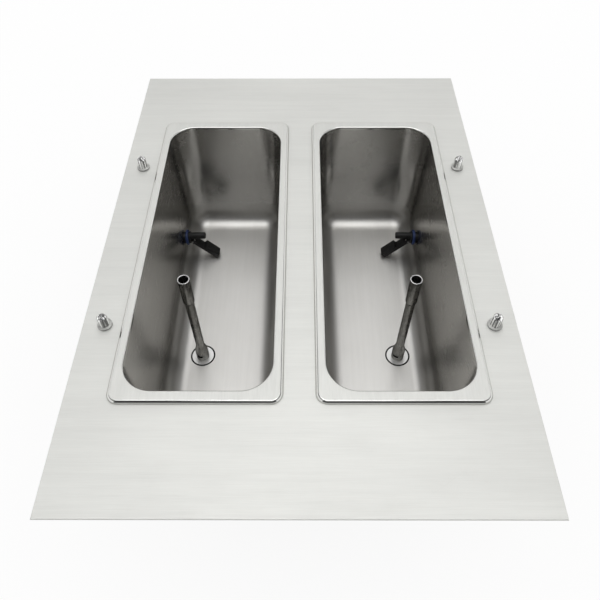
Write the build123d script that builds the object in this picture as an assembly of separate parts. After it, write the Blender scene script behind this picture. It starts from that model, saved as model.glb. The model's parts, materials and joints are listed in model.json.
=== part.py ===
from build123d import *
import math
import os

# Twin-hopper top deck of a mix machine, in millimetres.
# The origin is the middle of the rail bolt pattern, on the plane that the rails bear on.
# +X is to the right, +Y to the back and +Z up.

# Deck sheet
deck_width = 540.0
deck_depth = 770.0
deck_sheet = 2.0
deck_edge_round = 0.6

# Rails and stiffener under the deck
rail_height = 25.0
rail_flange = 30.0
rail_sheet = 2.0
rail_inset = 10.0
rail_outer_bend = 3.0
rail_end_gap = 0.5
rail_bolt_x = 244.0
rail_bolt_y = 300.0
rail_bolt_hole_radius = 3.5
stiffener_width = 20.0
stiffener_height = 18.0

# Locating pins for the lid
pin_x = 242.0
pin_y = 147.0
pin_radius = 6.3
pin_flange_radius = 9.2
pin_flange_height = 3.0
pin_shank_height = 13.5
pin_nose_height = 5.0
pin_tip_radius = 2.4
pin_nose_lean = 0.4
pin_tail_radius = 4.0
pin_tail_length = 19.0
pin_edge = 0.5
pin_hole_radius = 4.3
pin_washer_radius = 7.0
pin_washer_height = 2.0
pin_washer_slit = 1.2
pin_nut_flats = 13.0
pin_nut_height = 6.5

# Hoppers
hopper_pitch = 239.4
hopper_y = -3.0
opening_width = 177.0
opening_length = 480.0
opening_corner = 38.0
hopper_sheet = 1.2
wall_draft = 2.0
floor_depth = 200.0
floor_fillet = 29.0
rim_height = 5.0
rim_side_width = 12.8
rim_end_width = 15.7
rim_corner = 14.0
rim_bend = 4.7
mouth_bend = 2.0
gasket_beside_lip = 0.2
cutout_margin = 2.5

# Studs and nuts that hold the rims down
rim_stud_from_mouth = 6.4
rim_stud_radius = 2.0
rim_stud_hole_radius = 2.25
rim_stud_length = 15.8
rim_stud_rows_y = (-165.0, 0.0, 165.0)
rim_stud_columns_x = (-50.0, 50.0)
rim_nut_flats = 7.0
rim_nut_height = 4.0
rim_nut_flange_radius = 4.5
rim_nut_flange_height = 0.9
thread_gap = 0.02

# Outlets in the hopper floors
outlet_x = 155.3
outlet_y = -72.7
ferrule_disc_radius = 17.0
outlet_seal_radius = 19.0
ferrule_flange_radius = 27.0
ferrule_flange_height = 6.0
spigot_radius = 16.0
spigot_length = 30.0
spigot_edge = 1.0
spigot_neck_radius = 14.5
spigot_neck_length = 10.0
ferrule_socket_radius = 9.5
ferrule_socket_depth = 20.0
outlet_bore_radius = 6.0
outlet_stud_circle = 22.0
outlet_stud_radius = 2.5
outlet_stud_length = 14.0
outlet_stud_hole_gap = 0.25
outlet_nut_flats = 8.0
outlet_nut_height = 4.0

# Feed tubes, heights above the hopper floor
foot_radius = 9.45
foot_depth = 18.0
foot_chamfer = 1.0
collar_radius = 9.75
collar_height = 17.5
flare_top = 35.5
feed_tube_radius = 6.5
feed_tube_top = 143.0
feed_bore_radius = 5.4
o_ring_radius = 8.7
o_ring_section_radius = 0.75
o_ring_groove_radius = 7.9
o_ring_groove_half_width = 1.2
o_ring_depths = (6.3, 12.3)
slot_height = 9.9
slot_tall = 5.0
slot_wide = 8.6
slot_turn = {"left": -17.0, "right": -34.0}

# Air tubes, heights above the hopper floor
air_tube_radius = 5.35
air_bore_radius = 4.3
air_tube_foot = -16.0
air_head_seat = 143.1
air_head_seat_radius = 6.7
air_head_shoulder = 147.5
air_head_radius = 8.2
air_head_bore_radius = 6.9
air_tube_top = 194.4
air_head_edge = 0.4
air_head_bore_lag = 2.0

# Float switches: along the switch from the inside of the wall, and up from the shank's middle
switch_y = 140.2
switch_height = 46.6
shank_radius = 8.0
shank_hole_radius = 8.2
shank_length = 14.0
shank_cavity_radius = 5.0
shank_cavity_end = 6.0
gasket_radius = 13.3
gasket_bore_radius = 8.1
gasket_boss_radius = 9.8
gasket_boss = 3.2
gasket_thick = 7.7
gasket_edge = 1.8
flange_radius = 10.6
flange_front = 10.7
stem_radius = 5.7
stem_up = 3.9
stem_tip = 36.8
stem_edge = 0.8
reed_bore_radius = 1.9
reed_bore_end = 32.0
reed_radius = 1.4
reed_start = 14.0
reed_length = 16.0
reed_end_round = 1.2
pivot_along = 13.75
pivot_up = -4.35
pivot_pin_radius = 1.5
pivot_pin_half_length = 7.6
pivot_gap = 0.06
tongue_half_width = 3.0
tongue_end_radius = 2.4
tongue_top = 0.0
switch_nut_flats = 24.0
switch_nut_height = 7.0
switch_nut_gap = 0.05

# Float arms, measured from the pivot with the float raised
float_half_width = 8.2
float_plate_half = 2.1
float_slot_half_width = 3.3
float_slot_length = 6.5
float_block_start = 23.8
float_end = 54.8
float_block_top = 9.0
float_edge = 1.0
float_end_round = 2.0
float_hang = 48.6
magnet_radius = 2.0
magnet_length = 8.0
magnet_up = 5.6
magnet_gap = 0.1
magnet_plug_thick = 1.4

# Cooling coils on the hopper walls
coil_radius = 4.0
coil_bore_radius = 3.2
coil_wall_gap = 0.3
coil_top_z = -8.0
coil_run_spacing = 32.0
coil_run_count = 4
coil_bend = 15.5
coil_front_y = -178.0
coil_rear_y = 168.0
coil_stub_y = 300.0
coupling_radius = 5.2
coupling_bore_radius = 4.05
coupling_depth = 10.0
coupling_stop = 1.0
strap_sheet = 1.0
strap_width = 14.0
strap_inside = 8.6
strap_top_z = 10.0
strap_bottom_z = -112.0
strap_rows_y = (-125.0, -8.0, 105.0)

# How far a joining or cutting shape runs past a face, and how near a point counts as on a line
overrun = 1.0
nearness = 0.01

# Levels and lines worked out from the sizes above
deck_top = rail_height + deck_sheet
rim_top = deck_top + rim_height
floor_z = deck_top - floor_depth
floor_under_z = floor_z - hopper_sheet
rim_outer_width = opening_width + 2 * rim_side_width
rim_outer_length = opening_length + 2 * rim_end_width
draft_slope = math.tan(math.radians(wall_draft))
pin_top_z = deck_top + pin_flange_height + pin_shank_height + pin_nose_height
sides = {"left": -1, "right": 1}


def cylinder_z(radius, bottom, top, x=0.0, y=0.0):
    return Pos(x, y, (bottom + top) / 2) * Cylinder(radius, top - bottom)


def cylinder_x(radius, start, end, y=0.0, z=0.0):
    return Pos((start + end) / 2, y, z) * Rot(0, 90, 0) * Cylinder(radius, end - start)


def cylinder_y(radius, start, end, x=0.0, z=0.0):
    return Pos(x, (start + end) / 2, z) * Rot(90, 0, 0) * Cylinder(radius, end - start)


def block(low, high):
    size = [high[i] - low[i] for i in range(3)]
    middle = [(high[i] + low[i]) / 2 for i in range(3)]
    return Pos(*middle) * Box(*size)


def rounded_plate(width, length, corner, bottom, top):
    return Pos(0, 0, bottom) * extrude(RectangleRounded(width, length, corner), amount=top - bottom)


def hexagon(flats, bottom, top):
    return Pos(0, 0, bottom) * extrude(
        RegularPolygon(flats / 2, 6, major_radius=False), amount=top - bottom
    )


def turned(*outline):
    face = make_face(Polyline(*outline, close=True))
    return revolve(Plane.XZ * face, Axis.Z, 360)


def copies(shape, places):
    return Compound([Pos(x, y, 0) * shape for x, y in places])


def hopper_x(side):
    return sides[side] * hopper_pitch / 2


def wall_x(side, face, z, offset):
    # X of a long wall's outside at height z, offset outwards; face is -1 for the left wall, 1 for the right
    reach = opening_width / 2 + hopper_sheet - (rim_top - z) * draft_slope + offset
    return hopper_x(side) + face * reach


# Deck sheet


def rim_stud_places():
    across = opening_width / 2 + rim_stud_from_mouth
    along = opening_length / 2 + rim_stud_from_mouth
    places = [(face * across, y) for face in (-1, 1) for y in rim_stud_rows_y]
    places += [(x, face * along) for face in (-1, 1) for x in rim_stud_columns_x]
    return places


def pin_places():
    return [(sx * pin_x, hopper_y + sy * pin_y) for sx in (-1, 1) for sy in (-1, 1)]


def deck_panel():
    half_width = deck_width / 2
    half_depth = deck_depth / 2
    panel = block((-half_width, -half_depth, rail_height), (half_width, half_depth, deck_top))
    panel = fillet(panel.faces().sort_by(Axis.Z)[-1].edges(), deck_edge_round)
    for side in sides:
        place = Pos(hopper_x(side), hopper_y, 0)
        panel -= place * rounded_plate(
            opening_width + 2 * cutout_margin,
            opening_length + 2 * cutout_margin,
            opening_corner + cutout_margin,
            rail_height,
            deck_top,
        )
        for x, y in rim_stud_places():
            panel -= place * cylinder_z(rim_stud_hole_radius, rail_height, deck_top, x, y)
    for x, y in pin_places():
        panel -= cylinder_z(pin_hole_radius, rail_height, deck_top, x, y)
    return panel


# Rails and stiffener


def channel(length):
    # Web on the YZ plane, flanges towards +X
    outside = block((0, -length / 2, 0), (rail_flange, length / 2, rail_height))
    outside = fillet(outside.edges().filter_by(Axis.Y).group_by(Axis.X)[0], rail_outer_bend)
    inside = block(
        (rail_sheet, -length / 2, rail_sheet),
        (rail_flange, length / 2, rail_height - rail_sheet),
    )
    inside = fillet(inside.edges().filter_by(Axis.Y).group_by(Axis.X)[0], rail_outer_bend - rail_sheet)
    return outside - inside


def side_rail():
    rail = Pos(-deck_width / 2 + rail_inset, 0, 0) * channel(
        deck_depth - 2 * (rail_inset + rail_flange + rail_end_gap)
    )
    for end in (-1, 1):
        rail -= cylinder_z(rail_bolt_hole_radius, 0, rail_sheet, -rail_bolt_x, end * rail_bolt_y)
        pin_hole_y = hopper_y + end * pin_y
        rail -= cylinder_z(pin_hole_radius, rail_height - rail_sheet, rail_height, -pin_x, pin_hole_y)
    return rail


def end_rail():
    rail = Rot(0, 0, 90) * channel(deck_width - 2 * rail_inset)
    return Pos(0, -deck_depth / 2 + rail_inset, 0) * rail


def centre_stiffener():
    half = deck_depth / 2 - rail_inset - rail_flange - rail_end_gap
    outside = block(
        (-stiffener_width / 2, -half, rail_height - stiffener_height),
        (stiffener_width / 2, half, rail_height),
    )
    inside = block(
        (-stiffener_width / 2 + rail_sheet, -half, rail_height - stiffener_height + rail_sheet),
        (stiffener_width / 2 - rail_sheet, half, rail_height),
    )
    return outside - inside


# Locating pins


def locating_pin():
    shank_top = deck_top + pin_flange_height + pin_shank_height
    flange_top = deck_top + pin_flange_height
    tail_end = deck_top - pin_tail_length
    outline = Polyline(
        (pin_tip_radius, pin_top_z),
        (0, pin_top_z),
        (0, tail_end),
        (pin_tail_radius - pin_edge, tail_end),
        (pin_tail_radius, tail_end + pin_edge),
        (pin_tail_radius, deck_top),
        (pin_flange_radius, deck_top),
        (pin_flange_radius, flange_top - pin_edge),
        (pin_flange_radius - pin_edge, flange_top),
        (pin_radius, flange_top),
        (pin_radius, shank_top),
    )
    nose = TangentArc((pin_radius, shank_top), (pin_tip_radius, pin_top_z), tangent=(-pin_nose_lean, 1))
    return revolve(Plane.XZ * make_face(outline + nose), Axis.Z, 360)


def pin_spring_washer():
    top = rail_height - rail_sheet
    ring = cylinder_z(pin_washer_radius, top - pin_washer_height, top)
    ring -= cylinder_z(pin_tail_radius + thread_gap, top - pin_washer_height, top)
    half_slit = pin_washer_slit / 2
    slit = block((0, -half_slit, top - pin_washer_height), (pin_washer_radius, half_slit, top))
    return ring - slit


def pin_lock_nut():
    top = rail_height - rail_sheet - pin_washer_height
    nut = hexagon(pin_nut_flats, top - pin_nut_height, top)
    return nut - cylinder_z(pin_tail_radius + thread_gap, top - pin_nut_height, top)


# Hoppers


def tub(grow, bottom, edge_radius):
    # The drafted inside of a hopper, or its outside when grown by the sheet's thickness
    mouth = RectangleRounded(opening_width + 2 * grow, opening_length + 2 * grow, opening_corner + grow)
    shape = Pos(0, 0, rim_top) * extrude(mouth, amount=bottom - rim_top, taper=wall_draft)
    return fillet(shape.faces().sort_by(Axis.Z)[0].edges(), edge_radius)


def switch_place():
    # On the inside of the left hopper's outer wall, square to that wall
    z = floor_z + switch_height
    x = wall_x("left", -1, z, -hopper_sheet / math.cos(math.radians(wall_draft)))
    return Pos(x, switch_y, z) * Rot(0, -wall_draft, 0)


def hopper():
    # Left hopper, in the deck's frame; the rim's edge rounds down to the deck
    outside = tub(hopper_sheet, floor_under_z, floor_fillet + hopper_sheet)
    rim = rounded_plate(rim_outer_width, rim_outer_length, rim_corner, deck_top, rim_top)
    rim = fillet(rim.faces().sort_by(Axis.Z)[-1].edges(), rim_bend)
    under = rounded_plate(
        rim_outer_width - 2 * hopper_sheet,
        rim_outer_length - 2 * hopper_sheet,
        rim_corner - hopper_sheet,
        deck_top,
        rim_top - hopper_sheet,
    )
    under = fillet(under.faces().sort_by(Axis.Z)[-1].edges(), rim_bend - hopper_sheet)
    shell = (rim - under) + outside - tub(0, floor_z, floor_fillet)
    top_edges = shell.edges().filter_by_position(Axis.Z, rim_top - nearness, rim_top + nearness)
    half_width = opening_width / 2 + nearness
    half_length = opening_length / 2 + nearness
    mouth = [
        edge
        for edge in top_edges
        if abs(edge.center().X) < half_width and abs(edge.center().Y) < half_length
    ]
    shell = fillet(mouth, mouth_bend)
    shell = Pos(hopper_x("left"), hopper_y, 0) * shell
    shell -= cylinder_z(
        outlet_seal_radius, floor_under_z - overrun, floor_z + overrun, -outlet_x, outlet_y
    )
    return shell - switch_place() * cylinder_x(shank_hole_radius, -2 * hopper_sheet, hopper_sheet)


def rim_gasket():
    inner_width = opening_width + 2 * cutout_margin
    inner_length = opening_length + 2 * cutout_margin
    inner_corner = opening_corner + cutout_margin
    beside_lip = hopper_sheet + gasket_beside_lip
    strip = rounded_plate(
        rim_outer_width - 2 * beside_lip,
        rim_outer_length - 2 * beside_lip,
        rim_corner - beside_lip,
        deck_top,
        rim_top - hopper_sheet,
    )
    strip = fillet(strip.faces().sort_by(Axis.Z)[-1].edges(), rim_bend - hopper_sheet)
    strip -= rounded_plate(inner_width, inner_length, inner_corner, deck_top, rim_top)
    for x, y in rim_stud_places():
        strip -= cylinder_z(rim_stud_radius + thread_gap, deck_top, rim_top, x, y)
    return strip


def rim_stud():
    top = rim_top - hopper_sheet
    return cylinder_z(rim_stud_radius, top - rim_stud_length, top)


def rim_nut():
    seat = rail_height - rim_nut_flange_height
    nut = hexagon(rim_nut_flats, rail_height - rim_nut_height, seat)
    nut += cylinder_z(rim_nut_flange_radius, seat, rail_height)
    return nut - cylinder_z(rim_stud_radius + thread_gap, rail_height - rim_nut_height, rail_height)


# Outlets, round the outlet's own axis


def outlet_stud_places():
    reach = outlet_stud_circle * math.sqrt(0.5)
    return [(sx * reach, sy * reach) for sx in (-1, 1) for sy in (-1, 1)]


def outlet_ferrule():
    flange_bottom = floor_under_z - ferrule_flange_height
    spigot_end = flange_bottom - spigot_length
    neck_bottom = flange_bottom - spigot_neck_length
    ferrule = turned(
        (outlet_bore_radius, spigot_end),
        (spigot_radius - spigot_edge, spigot_end),
        (spigot_radius, spigot_end + spigot_edge),
        (spigot_radius, neck_bottom),
        (spigot_neck_radius, neck_bottom),
        (spigot_neck_radius, flange_bottom),
        (ferrule_flange_radius, flange_bottom),
        (ferrule_flange_radius, floor_under_z),
        (ferrule_disc_radius, floor_under_z),
        (ferrule_disc_radius, floor_z),
        (ferrule_socket_radius, floor_z),
        (ferrule_socket_radius, floor_z - ferrule_socket_depth),
        (outlet_bore_radius, floor_z - ferrule_socket_depth),
    )
    for x, y in outlet_stud_places():
        ferrule -= cylinder_z(outlet_stud_radius + outlet_stud_hole_gap, flange_bottom, floor_under_z, x, y)
    return ferrule


def outlet_seal():
    return turned(
        (ferrule_disc_radius, floor_under_z),
        (outlet_seal_radius, floor_under_z),
        (outlet_seal_radius, floor_z),
        (ferrule_disc_radius, floor_z),
    )


def outlet_stud():
    return cylinder_z(outlet_stud_radius, floor_under_z - outlet_stud_length, floor_under_z)


def outlet_nut():
    top = floor_under_z - ferrule_flange_height
    nut = hexagon(outlet_nut_flats, top - outlet_nut_height, top)
    return nut - cylinder_z(outlet_stud_radius + thread_gap, top - outlet_nut_height, top)


# Feed and air tubes, round the outlet's own axis


def mix_slot(side):
    # A window through the front of the tube's foot
    window = block(
        (-slot_wide / 2, -collar_radius - overrun, floor_z + slot_height - slot_tall / 2),
        (slot_wide / 2, 0, floor_z + slot_height + slot_tall / 2),
    )
    return Rot(0, 0, slot_turn[side]) * window


def feed_tube(side):
    tube = turned(
        (feed_bore_radius, floor_z - foot_depth),
        (foot_radius - foot_chamfer, floor_z - foot_depth),
        (foot_radius, floor_z - foot_depth + foot_chamfer),
        (foot_radius, floor_z),
        (collar_radius, floor_z),
        (collar_radius, floor_z + collar_height),
        (feed_tube_radius, floor_z + flare_top),
        (feed_tube_radius, floor_z + feed_tube_top),
        (feed_bore_radius, floor_z + feed_tube_top),
    )
    for depth in o_ring_depths:
        low = floor_z - depth - o_ring_groove_half_width
        high = floor_z - depth + o_ring_groove_half_width
        groove = cylinder_z(foot_radius + overrun, low, high)
        tube -= groove - cylinder_z(o_ring_groove_radius, low, high)
    return tube - mix_slot(side)


def feed_tube_o_rings():
    ring = Torus(o_ring_radius, o_ring_section_radius)
    return Compound([Pos(0, 0, floor_z - depth) * ring for depth in o_ring_depths])


def air_tube(side):
    head_bore_start = air_head_seat + air_head_bore_lag
    head_bore_end = air_head_shoulder + air_head_bore_lag
    tube = turned(
        (air_bore_radius, floor_z + air_tube_foot),
        (air_tube_radius, floor_z + air_tube_foot),
        (air_tube_radius, floor_z + air_head_seat),
        (air_head_seat_radius, floor_z + air_head_seat),
        (air_head_radius, floor_z + air_head_shoulder),
        (air_head_radius, floor_z + air_tube_top - air_head_edge),
        (air_head_radius - air_head_edge, floor_z + air_tube_top),
        (air_head_bore_radius + air_head_edge, floor_z + air_tube_top),
        (air_head_bore_radius, floor_z + air_tube_top - air_head_edge),
        (air_head_bore_radius, floor_z + head_bore_end),
        (air_bore_radius, floor_z + head_bore_start),
    )
    return tube - mix_slot(side)


# Float switch, in its own frame: +X along the stem into the hopper, +Z up


def switch_body():
    body = cylinder_x(flange_radius, gasket_thick, flange_front)
    body += cylinder_x(shank_radius, -shank_length, gasket_thick)
    stem = cylinder_x(stem_radius, flange_front - overrun, stem_tip, 0, stem_up)
    stem = fillet(stem.edges().sort_by(Axis.X)[-1:], stem_edge)
    body += stem
    body += block(
        (flange_front - overrun, -tongue_half_width, pivot_up - tongue_end_radius),
        (pivot_along, tongue_half_width, tongue_top),
    )
    body += cylinder_y(tongue_end_radius, -tongue_half_width, tongue_half_width, pivot_along, pivot_up)
    body -= cylinder_x(shank_cavity_radius, -shank_length, shank_cavity_end)
    body -= cylinder_x(reed_bore_radius, shank_cavity_end - overrun, reed_bore_end, 0, stem_up)
    hole = pivot_pin_radius + thread_gap
    return body - cylinder_y(hole, -tongue_half_width, tongue_half_width, pivot_along, pivot_up)


def switch_gasket():
    # A narrow boss on the wall and a wide, rounded lip in front of it
    ring = cylinder_x(gasket_radius, gasket_boss, gasket_thick)
    ring = fillet(ring.edges().filter_by(GeomType.CIRCLE), gasket_edge)
    ring += cylinder_x(gasket_boss_radius, 0, gasket_boss + overrun)
    return ring - cylinder_x(gasket_bore_radius, 0, gasket_thick)


def switch_nut():
    nut = Pos(-hopper_sheet, 0, 0) * Rot(0, -90, 0) * hexagon(switch_nut_flats, 0, switch_nut_height)
    return nut - cylinder_x(shank_radius + switch_nut_gap, -hopper_sheet - switch_nut_height, -hopper_sheet)


def pivot_pin():
    reach = pivot_pin_half_length
    return cylinder_y(pivot_pin_radius, -reach, reach, pivot_along, pivot_up)


def reed_switch():
    glass = cylinder_x(reed_radius, reed_start, reed_start + reed_length, 0, stem_up)
    return fillet(glass.edges().filter_by(GeomType.CIRCLE), reed_end_round)


def hanging():
    # From the float's own frame, raised, to the hanging float in the switch's frame
    return Pos(pivot_along, 0, pivot_up) * Rot(0, float_hang, 0)


def float_arm():
    plate = block(
        (0, -float_half_width, -float_plate_half),
        (float_block_start + overrun, float_half_width, float_plate_half),
    )
    head = block(
        (float_block_start, -float_half_width, -float_plate_half),
        (float_end, float_half_width, float_block_top),
    )
    head = fillet(head.faces().sort_by(Axis.X)[-1].edges(), float_end_round)
    arm = plate + head
    arm += cylinder_y(float_plate_half, -float_half_width, float_half_width)
    long_edges = [
        edge
        for edge in arm.edges().filter_by(Axis.X)
        if abs(abs(edge.center().Y) - float_half_width) < nearness
    ]
    arm = fillet(long_edges, float_edge)
    arm -= block(
        (-float_plate_half - overrun, -float_slot_half_width, -float_plate_half),
        (float_slot_length, float_slot_half_width, float_plate_half),
    )
    pocket_end = float_block_start + magnet_plug_thick + magnet_length + 2 * magnet_gap
    arm -= cylinder_x(magnet_radius + magnet_gap, float_block_start, pocket_end, 0, magnet_up)
    return arm - cylinder_y(pivot_pin_radius + pivot_gap, -float_half_width, float_half_width)


def float_magnet():
    start = float_block_start + magnet_plug_thick + magnet_gap
    return cylinder_x(magnet_radius, start, start + magnet_length, 0, magnet_up)


def magnet_plug():
    end = float_block_start + magnet_plug_thick
    return cylinder_x(magnet_radius + magnet_gap, float_block_start, end, 0, magnet_up)


# Cooling coil and its straps, for the left hopper


def coil_runs():
    return [coil_top_z - i * coil_run_spacing for i in range(coil_run_count)]


def coil_half(face):
    # Corners of the serpentine on one long wall, from its stub at the back down to its lowest run
    offset = coil_wall_gap + coil_radius
    corners = []
    y = coil_stub_y
    for i, z in enumerate(coil_runs()):
        x = wall_x("left", face, z, offset)
        corners.append((x, y, z))
        y = coil_front_y if i % 2 == 0 else coil_rear_y
        corners.append((x, y, z))
    return corners


def coil_route():
    # Down one long wall, round the back and up the other
    lowest = coil_runs()[-1]
    drop = (rim_top - lowest) * draft_slope
    offset = coil_wall_gap + coil_radius
    behind = hopper_y + opening_length / 2 + hopper_sheet - drop + offset
    corner_bend = opening_corner + hopper_sheet - drop + offset
    outer = coil_half(-1)
    inner = coil_half(1)
    outer[-1] = (outer[-1][0], behind, lowest)
    inner[-1] = (inner[-1][0], behind, lowest)
    route = outer + inner[::-1]
    turns = len(outer) - 2
    radii = [coil_bend] * turns + [corner_bend] * 2 + [coil_bend] * turns
    return route, radii


def cooling_coil():
    route, radii = coil_route()
    path = FilletPolyline(*route, radius=radii)
    section = Plane(origin=path @ 0, z_dir=path % 0) * (Circle(coil_radius) - Circle(coil_bore_radius))
    return sweep(section, path=path)


def coil_couplings():
    # A sleeve on each end of the coil, with a stop inside: the pipe from the cabinet goes in behind the stop
    route = coil_route()[0]
    sleeves = []
    for x, y, z in (route[0], route[-1]):
        stop_end = y + coupling_stop
        sleeve = cylinder_y(coupling_radius, y - coupling_depth, stop_end + coupling_depth, x, z)
        sleeve -= cylinder_y(coupling_bore_radius, y - coupling_depth, y, x, z)
        sleeve -= cylinder_y(coil_bore_radius, y, stop_end, x, z)
        sleeve -= cylinder_y(coupling_bore_radius, stop_end, stop_end + coupling_depth, x, z)
        sleeves.append(sleeve)
    return Compound(sleeves)


def coil_strap(face):
    outside = strap_inside + strap_sheet
    section = (
        (0, strap_top_z),
        (outside, strap_top_z),
        (outside, strap_bottom_z),
        (0, strap_bottom_z),
        (0, strap_bottom_z + strap_sheet),
        (strap_inside, strap_bottom_z + strap_sheet),
        (strap_inside, strap_top_z - strap_sheet),
        (0, strap_top_z - strap_sheet),
    )
    outline = [(wall_x("left", face, z, offset), z) for offset, z in section]
    return extrude(Plane.XZ * make_face(Polyline(*outline, close=True)), amount=strap_width / 2, both=True)


def coil_straps():
    straps = [Pos(0, y, 0) * coil_strap(face) for face in (-1, 1) for y in strap_rows_y]
    return Compound(straps)


# All the pieces, by node name


def handed(name, shape):
    # A left-hand shape and its mirror image
    return {"left_" + name: shape, "right_" + name: mirror(shape, about=Plane.YZ)}


def deck_pieces():
    front_rail = end_rail()
    half_turn = Rot(0, 0, 180)
    return {
        "deck_panel": deck_panel(),
        **handed("rail", side_rail()),
        "front_rail": front_rail,
        "rear_rail": half_turn * front_rail,
        "centre_stiffener": centre_stiffener(),
        "locating_pins": copies(locating_pin(), pin_places()),
        "pin_spring_washers": copies(pin_spring_washer(), pin_places()),
        "pin_lock_nuts": copies(pin_lock_nut(), pin_places()),
    }


def hopper_pieces():
    place = Pos(hopper_x("left"), hopper_y, 0)
    outlet = Pos(-outlet_x, outlet_y, 0)
    switch = switch_place()
    float_place = switch * hanging()
    shapes = {
        "hopper": hopper(),
        "rim_gasket": place * rim_gasket(),
        "rim_studs": place * copies(rim_stud(), rim_stud_places()),
        "rim_nuts": place * copies(rim_nut(), rim_stud_places()),
        "outlet_ferrule": outlet * outlet_ferrule(),
        "outlet_seal": outlet * outlet_seal(),
        "outlet_studs": outlet * copies(outlet_stud(), outlet_stud_places()),
        "outlet_nuts": outlet * copies(outlet_nut(), outlet_stud_places()),
        "float_switch_body": switch * switch_body(),
        "float_switch_gasket": switch * switch_gasket(),
        "float_switch_nut": switch * switch_nut(),
        "float_pivot_pin": switch * pivot_pin(),
        "reed_switch": switch * reed_switch(),
        "float_arm": float_place * float_arm(),
        "float_magnet": float_place * float_magnet(),
        "float_magnet_plug": float_place * magnet_plug(),
        "cooling_coil": cooling_coil(),
        "coil_couplings": coil_couplings(),
        "coil_straps": coil_straps(),
    }
    nodes = {}
    for name, shape in shapes.items():
        nodes.update(handed(name, shape))
    return nodes


def tube_pieces():
    # The loose tubes stand as they were dropped in, so they are not mirror images
    nodes = {}
    for side, sign in sides.items():
        outlet = Pos(sign * outlet_x, outlet_y, 0)
        nodes[side + "_feed_tube"] = outlet * feed_tube(side)
        nodes[side + "_feed_tube_o_rings"] = outlet * feed_tube_o_rings()
        nodes[side + "_air_tube"] = outlet * air_tube(side)
    return nodes


os.makedirs("parts", exist_ok=True)
pieces = {**deck_pieces(), **hopper_pieces(), **tube_pieces()}
for node, piece in pieces.items():
    export_step(piece, "parts/" + node + ".step")
pivot = (switch_place() * Pos(pivot_along, 0, pivot_up)).position
print(len(pieces), "nodes; left float pivot at", [round(value, 3) for value in pivot])
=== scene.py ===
import json
import math
import bpy
from mathutils import Matrix, Vector


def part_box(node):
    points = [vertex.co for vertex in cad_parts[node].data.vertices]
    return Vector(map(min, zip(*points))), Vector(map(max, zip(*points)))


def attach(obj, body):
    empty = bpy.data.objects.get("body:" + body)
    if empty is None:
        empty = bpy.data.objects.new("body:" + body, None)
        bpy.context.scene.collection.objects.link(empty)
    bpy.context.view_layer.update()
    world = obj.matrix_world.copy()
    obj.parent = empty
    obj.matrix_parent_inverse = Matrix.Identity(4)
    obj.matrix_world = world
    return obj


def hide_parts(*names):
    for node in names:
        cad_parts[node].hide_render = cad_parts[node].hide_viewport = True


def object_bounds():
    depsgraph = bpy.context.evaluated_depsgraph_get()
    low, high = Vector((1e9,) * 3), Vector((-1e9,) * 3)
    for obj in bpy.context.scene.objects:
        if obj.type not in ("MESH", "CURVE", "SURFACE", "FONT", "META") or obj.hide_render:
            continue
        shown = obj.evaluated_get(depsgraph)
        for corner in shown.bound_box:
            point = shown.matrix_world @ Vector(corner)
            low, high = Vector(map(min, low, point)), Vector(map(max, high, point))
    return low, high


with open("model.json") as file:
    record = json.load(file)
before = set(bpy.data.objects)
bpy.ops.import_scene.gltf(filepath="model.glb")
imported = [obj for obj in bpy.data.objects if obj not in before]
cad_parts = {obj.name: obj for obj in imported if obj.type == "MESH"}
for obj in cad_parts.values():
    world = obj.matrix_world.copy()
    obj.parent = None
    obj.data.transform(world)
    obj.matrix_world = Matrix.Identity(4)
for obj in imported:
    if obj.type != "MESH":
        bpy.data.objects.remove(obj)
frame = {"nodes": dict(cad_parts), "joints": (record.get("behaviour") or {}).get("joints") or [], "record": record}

# Twin-hopper top deck: satin sheet, drawn hoppers, loose tubes and side float switches, in metres
scene = bpy.context.scene
nodes = frame["nodes"]
record = frame["record"]
cadBox = [list(corner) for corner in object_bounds()]
sides = {"left": -1, "right": 1}
fourCorners = [(-1, -1), (-1, 1), (1, -1), (1, 1)]
joints = {joint["name"]: joint for joint in frame["joints"]}
slotOf = {subpart["node"]: subpart["material_slot"] for subpart in record["subparts"]}
bodyOf = {node: body for body, members in record["behaviour"]["bodies"].items() for node in members}
print("frame loaded:", len(nodes), "nodes")


# Meshes from rows of points

def linkMesh(name, vertices, faces):
    mesh = bpy.data.meshes.new(name)
    mesh.from_pydata(vertices, [], faces)
    mesh.validate()
    piece = bpy.data.objects.new(name, mesh)
    scene.collection.objects.link(piece)
    return piece


def ringPiece(name, rings, closed=False, caps=False):
    # Rings run counter-clockwise seen from above; a ring of one point closes to a tip
    vertices, starts = [], []
    for ring in rings:
        starts.append(len(vertices))
        vertices.extend(ring)
    pairs = [(row, row + 1) for row in range(len(rings) - 1)]
    if closed:
        pairs.append((len(rings) - 1, 0))
    faces = []
    for low, high in pairs:
        wide = max(len(rings[low]), len(rings[high]))
        for this in range(wide):
            after = (this + 1) % wide
            corners = [starts[row] + step % len(rings[row])
                       for row, step in ((low, this), (low, after), (high, after), (high, this))]
            faces.append(list(dict.fromkeys(corners)))
    if caps:
        faces.append([starts[0] + step for step in reversed(range(len(rings[0])))])
        faces.append([starts[-1] + step for step in range(len(rings[-1]))])
    return linkMesh(name, vertices, faces)


def circle(radius, height, count, x=0.0, y=0.0):
    if radius == 0:
        return [(x, y, height)]
    turns = [2 * math.pi * step / count for step in range(count)]
    return [(x + radius * math.cos(turn), y + radius * math.sin(turn), height) for turn in turns]


def arc(x, z, radius, start, end, steps):
    # Points of a profile's round stretch, angles in degrees from +x towards +z
    turns = [math.radians(start + (end - start) * step / steps) for step in range(steps + 1)]
    return [(x + radius * math.cos(turn), z + radius * math.sin(turn)) for turn in turns]


def turnedPiece(name, profile, count, closed=False, x=0.0, y=0.0):
    return ringPiece(name, [circle(radius, height, count, x, y) for radius, height in profile], closed)


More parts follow.
